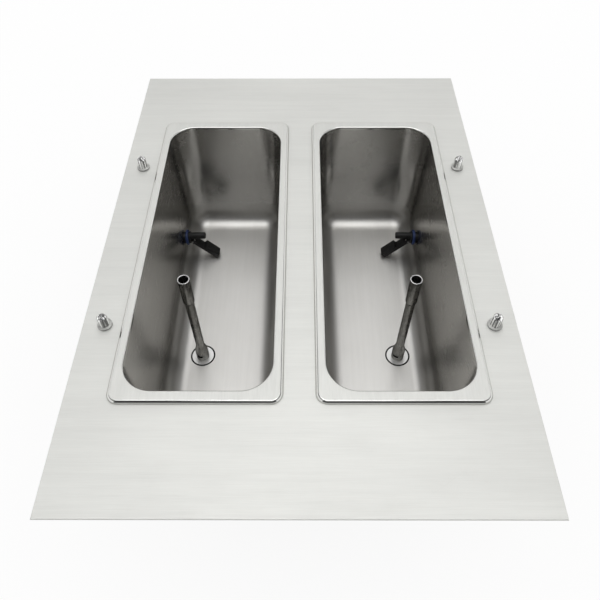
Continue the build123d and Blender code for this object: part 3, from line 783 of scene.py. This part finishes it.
def pinProfile(form):
    flange, thick, edge = form["flange"], form["flangeThick"], form["flangeEdge"]
    shank, root, tip, tipEdge = form["shank"], form["root"], form["tip"], form["tipEdge"]
    shankTop = thick + form["shankHeight"]
    top = shankTop + form["nose"]
    profile = [(0, -form["neckDepth"]), (form["neck"], -form["neckDepth"]), (form["neck"], 0)]
    profile += [(flange - edge / 2, 0), (flange, edge / 2)]
    profile += arc(flange - edge, thick - edge, edge, 0, 90, form["edgeSteps"])
    profile += arc(shank + root, thick + root, root, 270, 180, form["rootSteps"])
    profile += noseArc((shank, shankTop), (tip, top - tipEdge), form["noseLean"], form["noseSteps"])
    profile += [(tip - tipEdge, top), (0, top)]
    return profile


def makePins():
    form, node = pinForm, "locating_pins"
    low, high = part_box(node)
    reach = form["flange"]
    places = [(x, y) for x in (low.x + reach, high.x - reach) for y in (low.y + reach, high.y - reach)]
    pin = turnedPiece("pin", pinProfile(form), form["sides"])
    standFor(copiesOf(pin, "locatingPins", [(x, y, deckTop) for x, y in places], node), node)
    tailTop = deckTop - form["neckDepth"]
    standFor(threadedRods("pinTails", places, low.z, tailTop, form["tail"], form["pitch"], node), node)
    makeNuts("pinLockNuts", "pin_lock_nuts", lockNutForm, places, lockNutForm["seed"])


makePins()
print("locating pins made")


# Studs and nuts: round each hopper's rim and under each outlet

rimFastenerForm = {
    "sideX": 0.0949, "sideY": (-0.165, 0.0, 0.165), "endX": 0.05, "endY": 0.2464, "stud": 0.002,
    "pitch": 0.0008, "flats": 0.007, "bore": 0.00205, "flange": 0.0045, "flangeThick": 0.0009,
}
outletFastenerForm = {"offset": 0.015556, "stud": 0.0025, "pitch": 0.001, "flats": 0.008, "bore": 0.00255}
nutSeeds = {"left": 4, "right": 5}


def studsAndNuts(side, group, form, middle, offsets):
    places = [(middle.x + x, middle.y + y) for x, y in offsets]
    name, node = side + group.title(), side + "_" + group
    low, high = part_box(node + "_studs")
    studs = threadedRods(name + "Studs", places, low.z, high.z, form["stud"], form["pitch"], node + "_studs")
    standFor(studs, node + "_studs")
    makeNuts(name + "Nuts", node + "_nuts", form, places, nutSeeds[side])


def makeFasteners(side):
    form = rimFastenerForm
    offsets = [(way * form["sideX"], y) for way in (-1, 1) for y in form["sideY"]]
    offsets += [(x * form["endX"], y * form["endY"]) for x, y in fourCorners]
    studsAndNuts(side, "rim", form, hopperSizes(side)["middle"], offsets)
    form = outletFastenerForm
    offsets = [(x * form["offset"], y * form["offset"]) for x, y in fourCorners]
    studsAndNuts(side, "outlet", form, outletMiddle(side), offsets)


for side in sides:
    makeFasteners(side)
print("studs and nuts made")


# Feed tubes with their air tubes, standing in the outlets; heights from the hopper's floor

feedForm = {
    "foot": 0.00945, "footDepth": 0.018, "footChamfer": 0.001, "groove": 0.0079, "grooveHalf": 0.0012,
    "grooveDepths": (0.0123, 0.0063), "collar": 0.00975, "collarHeight": 0.0175, "flareHeight": 0.0355,
    "flareSteps": 14, "tube": 0.0065, "top": 0.143, "bore": 0.0054, "edge": 0.0003, "sides": 72,
}
airForm = {
    "foot": -0.016, "tube": 0.00535, "bore": 0.0043, "seat": 0.1431, "seatRadius": 0.0067, "shoulder": 0.1475,
    "head": 0.0082, "headBore": 0.0069, "boreLag": 0.002, "top": 0.1944, "edge": 0.0004, "edgeSteps": 4,
    "sides": 72,
}
slotForm = {"height": 0.0099, "tall": 0.005, "wide": 0.0086, "turns": {"left": -107, "right": -124}}


def feedProfile(form):
    foot, deep, chamfer = form["foot"], form["footDepth"], form["footChamfer"]
    collar, tube, bore, top, edge = form["collar"], form["tube"], form["bore"], form["top"], form["edge"]
    profile = [(bore, -deep), (foot - chamfer, -deep), (foot, chamfer - deep)]
    for depth in form["grooveDepths"]:
        low, high = -depth - form["grooveHalf"], -depth + form["grooveHalf"]
        profile += [(foot, low), (form["groove"], low), (form["groove"], high), (foot, high)]
    profile += [(foot, 0), (collar, 0)]
    for step in range(form["flareSteps"] + 1):
        share = step / form["flareSteps"]
        ease = share * share * (3 - 2 * share)
        height = form["collarHeight"] + (form["flareHeight"] - form["collarHeight"]) * share
        profile.append((collar + (tube - collar) * ease, height))
    profile += [(tube, top - edge), (tube - edge, top), (bore + edge, top), (bore, top - edge)]
    return profile


def airProfile(form):
    edge, lag, steps = form["edge"], form["boreLag"], form["edgeSteps"]
    foot, seat, tube, bore = form["foot"], form["seat"], form["tube"], form["bore"]
    head, headBore = form["head"], form["headBore"]
    profile = [(bore, foot), (tube, foot), (tube, seat), (form["seatRadius"] - edge, seat)]
    profile += [(form["seatRadius"], seat + edge), (head, form["shoulder"])]
    profile += arc(head - edge, form["top"] - edge, edge, 0, 90, steps)
    profile += arc(headBore + edge, form["top"] - edge, edge, 90, 180, steps)
    profile += [(headBore, form["shoulder"] + lag), (bore, seat + lag)]
    return profile


def slotCutter(side):
    form = slotForm
    low, high = form["height"] - form["tall"] / 2, form["height"] + form["tall"] / 2
    cutter = blockPiece("slotCut", (0, low), (2 * feedForm["collar"], high), form["wide"] / 2)
    cutter.data.transform(Matrix.Rotation(math.radians(form["turns"][side]), 4, "Z"))
    return cutter


def makeTube(side, kind, form, profile):
    outlet = outletMiddle(side)
    tube = turnedPiece(side + kind.title() + "Tube", profile(form), form["sides"], closed=True)
    combine(tube, "DIFFERENCE", slotCutter(side))
    tube.data.transform(Matrix.Translation((outlet.x, outlet.y, hopperSizes(side)["floor"])))
    standFor(tube, side + "_" + kind + "_tube")


for side in sides:
    makeTube(side, "feed", feedForm, feedProfile)
    makeTube(side, "air", airForm, airProfile)
print("tubes made")


# Float switches: body with stem and tongue, blue gasket, outside nut and hinged float, along the switch's +x

switchForm = {
    "flange": 0.0106, "flangeEdge": 0.0008, "flangeSteps": 4, "gasketEnd": 0.0077, "flangeEnd": 0.0107,
    "shank": 0.008, "shankEnd": -0.014, "pitch": 0.0015, "cavity": 0.005, "cavityEnd": 0.006,
    "stem": 0.0057, "stemUp": 0.0039, "stemTip": 0.0368, "stemEdge": 0.0012, "stemSteps": 5,
    "collar": 0.0061, "collarEnd": 0.0135, "reedBore": 0.0019, "reedEnd": 0.032,
    "pivotX": 0.01375, "pivotZ": -0.00435, "tongueHalf": 0.003, "tongueEnd": 0.0024, "tongueSteps": 8,
    "pinHole": 0.00155, "root": 0.009, "sides": 56,
}
gasketForm = {"bore": 0.0081, "boss": 0.0098, "bossEnd": 0.0032, "lip": 0.0133, "end": 0.0077, "edge": 0.0018,
              "edgeSteps": 6, "sides": 64}
switchNutForm = {"flats": 0.024, "bore": 0.00805, "from": -0.0082, "to": -0.0012}
floatForm = {
    "halfWidth": 0.0082, "plate": 0.0021, "plateSteps": 16, "forkHalf": 0.0033, "forkEnd": 0.0065,
    "block": 0.0238, "end": 0.0548, "top": 0.009, "endRound": 0.002, "endSteps": 6, "edge": 0.0009,
    "edgeSteps": 3, "edgeAngle": 50, "pinHole": 0.0016, "magnetUp": 0.0056, "magnetBore": 0.0021,
    "magnetEnd": 0.0333,
}
alongX = Matrix.Rotation(math.pi / 2, 4, "Y")


def switchTurned(name, profile, count, closed=False, up=0.0):
    # A turned piece whose axis is the switch's +x, or a line above it
    piece = turnedPiece(name, profile, count, closed)
    piece.data.transform(Matrix.Translation((0, 0, up)) @ alongX)
    return piece


def longHole(name, start, end, up, radius):
    return rodPiece(name, (start, 0, up), (end, 0, up), radius)


def crossHole(x, z, half, radius):
    return rodPiece("pinHole", (x, -half, z), (x, half, z), radius)


def switchFlange(form):
    edge, start, end, steps = form["flangeEdge"], form["gasketEnd"], form["flangeEnd"], form["flangeSteps"]
    profile = [(0, start), *arc(form["flange"] - edge, start + edge, edge, 270, 360, steps)]
    profile += [*arc(form["flange"] - edge, end - edge, edge, 0, 90, steps), (0, end)]
    return switchTurned("flange", profile, form["sides"])


def switchStem(form):
    edge, stem, tip = form["stemEdge"], form["stem"], form["stemTip"]
    profile = [(0, form["root"]), (form["collar"], form["root"]), (form["collar"], form["collarEnd"])]
    profile += [(stem, form["collarEnd"] + form["collar"] - stem)]
    profile += [*arc(stem - edge, tip - edge, edge, 0, 90, form["stemSteps"]), (0, tip)]
    return switchTurned("stem", profile, form["sides"], up=form["stemUp"])


def switchTongue(form):
    x, z, end = form["pivotX"], form["pivotZ"], form["tongueEnd"]
    outline = [(form["root"], z - end), *arc(x, z, end, 270, 360, form["tongueSteps"])]
    outline += [(x + end, 0), (form["root"], 0)]
    return prismPiece("tongue", outline, form["tongueHalf"])


def switchBody(side):
    form = switchForm
    body = threadedRods(side + "SwitchBody", [(0, 0)], form["shankEnd"], form["root"], form["shank"],
                        form["pitch"], side + "_float_switch_body")
    body.data.transform(alongX)
    combine(body, "UNION", switchFlange(form), switchStem(form), switchTongue(form))
    cavity = longHole("cavity", 2 * form["shankEnd"], form["cavityEnd"], 0, form["cavity"])
    reed = longHole("reedBore", 0, form["reedEnd"], form["stemUp"], form["reedBore"])
    pin = crossHole(form["pivotX"], form["pivotZ"], 2 * form["tongueHalf"], form["pinHole"])
    return combine(body, "DIFFERENCE", cavity, reed, pin)


def switchGasket(side):
    form = gasketForm
    bore, boss, start, end = form["bore"], form["boss"], form["bossEnd"], form["end"]
    lip, edge, steps = form["lip"], form["edge"], form["edgeSteps"]
    profile = [(bore, 0), (boss, 0), (boss, start), *arc(lip - edge, start + edge, edge, 270, 360, steps)]
    profile += [*arc(lip - edge, end - edge, edge, 0, 90, steps), (bore, end)]
    return settle(switchTurned(side + "SwitchGasket", profile, form["sides"], closed=True))


def switchNut(side):
    nut = nutPiece(side + "SwitchNut", switchNutForm, switchNutForm["from"], switchNutForm["to"])
    nut.data.transform(alongX)
    return settle(nut)


def floatArm(side):
    # Made level, then swung down to where it hangs
    form = floatForm
    plate, end, top, turn, steps = form["plate"], form["end"], form["top"], form["endRound"], form["endSteps"]
    outline = arc(0, 0, plate, 90, 270, form["plateSteps"])
    outline += arc(end - turn, turn - plate, turn, 270, 360, steps)
    outline += arc(end - turn, top - turn, turn, 0, 90, steps)
    outline += [(form["block"], top), (form["block"], plate)]
    arm = prismPiece(side + "FloatArm", outline, form["halfWidth"])
    bevel = arm.modifiers.new("edges", "BEVEL")
    bevel.width = form["edge"]
    bevel.segments = form["edgeSteps"]
    bevel.limit_method = "ANGLE"
    bevel.angle_limit = math.radians(form["edgeAngle"])
    settle(arm)
    fork = blockPiece("fork", (-2 * plate, -2 * plate), (form["forkEnd"], 2 * plate), form["forkHalf"])
    pin = crossHole(0, 0, 2 * form["halfWidth"], form["pinHole"])
    magnet = longHole("magnetBore", form["block"] - plate, form["magnetEnd"], form["magnetUp"],
                      form["magnetBore"])
    combine(arm, "DIFFERENCE", fork, pin, magnet)
    hang = math.radians(joints[side + "_float_swing"]["range_deg"][1])
    pivot = Matrix.Translation((switchForm["pivotX"], 0, switchForm["pivotZ"]))
    arm.data.transform(pivot @ Matrix.Rotation(hang, 4, "Y"))
    return arm


switchMakers = {"_float_switch_body": switchBody, "_float_switch_gasket": switchGasket,
                "_float_switch_nut": switchNut, "_float_arm": floatArm}
for side in sides:
    for node, make in switchMakers.items():
        piece = make(side)
        piece.data.transform(switchPlace(side))
        standFor(piece, side + node)
print("float switches made")


# Stage: pale floor, white surroundings, and the light panels and dark flags that the metal reflects

stageForm = {
    "floorDrop": 0.0005, "floorHalf": 4.0, "floorColour": (0.95, 0.95, 0.95), "whiteShare": 0.86,
    "cardDistance": 4.0, "cardGap": 0.05, "cardStep": 5.0, "overhead": 90,
}
white = {"Color": (1, 1, 1, 1), "Strength": 1.0}
# Azimuths and elevations in degrees, how wide sides and ends fade, and the shade; later cards are nearer
cards = {
    "overheadPanel": ((-180, 180), (56, 90), (0, 14), 2.6),
    "flagRing": ((15, 345), (30, 64), (8, 7), 0.24),
    "leftFlag": ((-54, -21), (46, 70), (6, 4), 0.05),
    "rightFlag": ((21, 54), (46, 70), (6, 4), 0.05),
    "frontFlag": ((138, 222), (1, 72), (8, 6), 0.06),
    "frontPanel": ((148, 212), (55, 80), (8, 3), 1.6),
    "backPanel": ((-22, 22), (44, 84), (6, 8), 1.9),
    "backShelf": ((-32, 32), (10, 48), (6, 2), 0.65),
}


def stageFinish(name):
    finish = bpy.data.materials.new(name)
    finish.use_nodes = True
    finish.node_tree.nodes.remove(finish.node_tree.nodes["Principled BSDF"])
    return finish, finish.node_tree


def showMix(tree, share, first, second):
    mix = addNode(tree, "ShaderNodeMixShader", {"Fac": share, 1: first.outputs[0], 2: second.outputs[0]})
    fill(tree, tree.nodes["Material Output"], {"Surface": mix.outputs[0]})


def makeFloor():
    half, height = stageForm["floorHalf"], cadBox[0][2] - stageForm["floorDrop"]
    corners = [(x * half, y * half, height) for x, y in fourCorners]
    floor = linkMesh("floor", corners, [(0, 2, 3, 1)])
    finish, tree = stageFinish("paleFloor")
    path = addNode(tree, "ShaderNodeLightPath").outputs
    seen = calc(tree, "MAXIMUM", path["Is Camera Ray"], path["Is Glossy Ray"])
    seen = calc(tree, "MAXIMUM", seen, path["Is Transmission Ray"])
    matte = addNode(tree, "ShaderNodeBsdfDiffuse", {"Color": (*stageForm["floorColour"], 1)})
    glow = addNode(tree, "ShaderNodeEmission", white)
    showMix(tree, calc(tree, "MULTIPLY", seen, stageForm["whiteShare"]), matte, glow)
    floor.data.materials.append(finish)


def cardGrid(name, west, east, low, high, distance):
    # A patch of a wide sphere round the object, its angles in degrees kept as its UV map
    columns = math.ceil((east - west) / stageForm["cardStep"])
    rows = math.ceil((high - low) / stageForm["cardStep"])
    places = [(west + (east - west) * column / columns, low + (high - low) * row / rows)
              for row in range(rows + 1) for column in range(columns + 1)]
    vertices = []
    for azimuth, elevation in places:
        around, up = math.radians(azimuth), math.radians(elevation)
        across = distance * math.cos(up)
        vertices.append((across * math.sin(around), across * math.cos(around), distance * math.sin(up)))
    starts = [row * (columns + 1) + column for row in range(rows) for column in range(columns)]
    faces = [(first, first + 1, first + columns + 2, first + columns + 1) for first in starts]
    piece = linkMesh(name, vertices, faces)
    layer = piece.data.uv_layers.new(name="degrees")
    for loop in piece.data.loops:
        layer.data[loop.index].uv = places[loop.vertex_index]
    return piece


def cardFinish(name, west, east, low, high, soft, shade):
    # Fades out at the card's edges, apart from one that closes overhead
    finish, tree = stageFinish(name + "Cloth")
    angles = axes(tree, addNode(tree, "ShaderNodeUVMap", uv_map="degrees").outputs[0])
    edges = [("X", west, soft[0]), ("X", east, -soft[0]), ("Y", low, soft[1])]
    if high < stageForm["overhead"]:
        edges.append(("Y", high, -soft[1]))
    cover = 1.0
    for axis, edge, inward in edges:
        if inward:
            fade = ramp(tree, angles[axis], (edge, edge + inward), kind="SMOOTHSTEP")
            cover = calc(tree, "MULTIPLY", cover, fade)
    clear = addNode(tree, "ShaderNodeBsdfTransparent")
    showMix(tree, cover, clear, addNode(tree, "ShaderNodeEmission", {**white, "Strength": shade}))
    return finish


def makeCard(name, distance):
    # Seen only in reflections
    azimuths, elevations, soft, shade = cards[name]
    piece = cardGrid(name, *azimuths, *elevations, distance)
    piece.data.materials.append(cardFinish(name, *azimuths, *elevations, soft, shade))
    piece.visible_camera = False
    piece.visible_diffuse = False
    piece.visible_shadow = False


def makeWorld():
    world = bpy.data.worlds.new("studio")
    world.use_nodes = True
    fill(world.node_tree, world.node_tree.nodes["Background"], white)
    scene.world = world


makeFloor()
makeWorld()
for layer, name in enumerate(cards):
    makeCard(name, stageForm["cardDistance"] - layer * stageForm["cardGap"])
print("stage made:", len(cards), "cards")


# Camera at the photograph's place

cameraForm = {"place": (0.00287, -0.55389, 0.62215), "pitch": 53.342, "yaw": 0.330, "roll": -0.258,
              "focalPixels": 578.2, "framePixels": 600, "sensor": 36.0, "nearest": 0.01}


def makeCamera():
    form = cameraForm
    data = bpy.data.cameras.new("camera")
    data.sensor_width = form["sensor"]
    data.lens = form["sensor"] * form["focalPixels"] / form["framePixels"]
    data.clip_start = form["nearest"]
    camera = bpy.data.objects.new("camera", data)
    turn = (Matrix.Rotation(math.radians(form["yaw"]), 4, "Z")
            @ Matrix.Rotation(math.radians(90 - form["pitch"]), 4, "X")
            @ Matrix.Rotation(math.radians(form["roll"]), 4, "Z"))
    camera.matrix_world = Matrix.Translation(form["place"]) @ turn
    scene.collection.objects.link(camera)
    scene.camera = camera


makeCamera()
scene.view_settings.view_transform = "Standard"
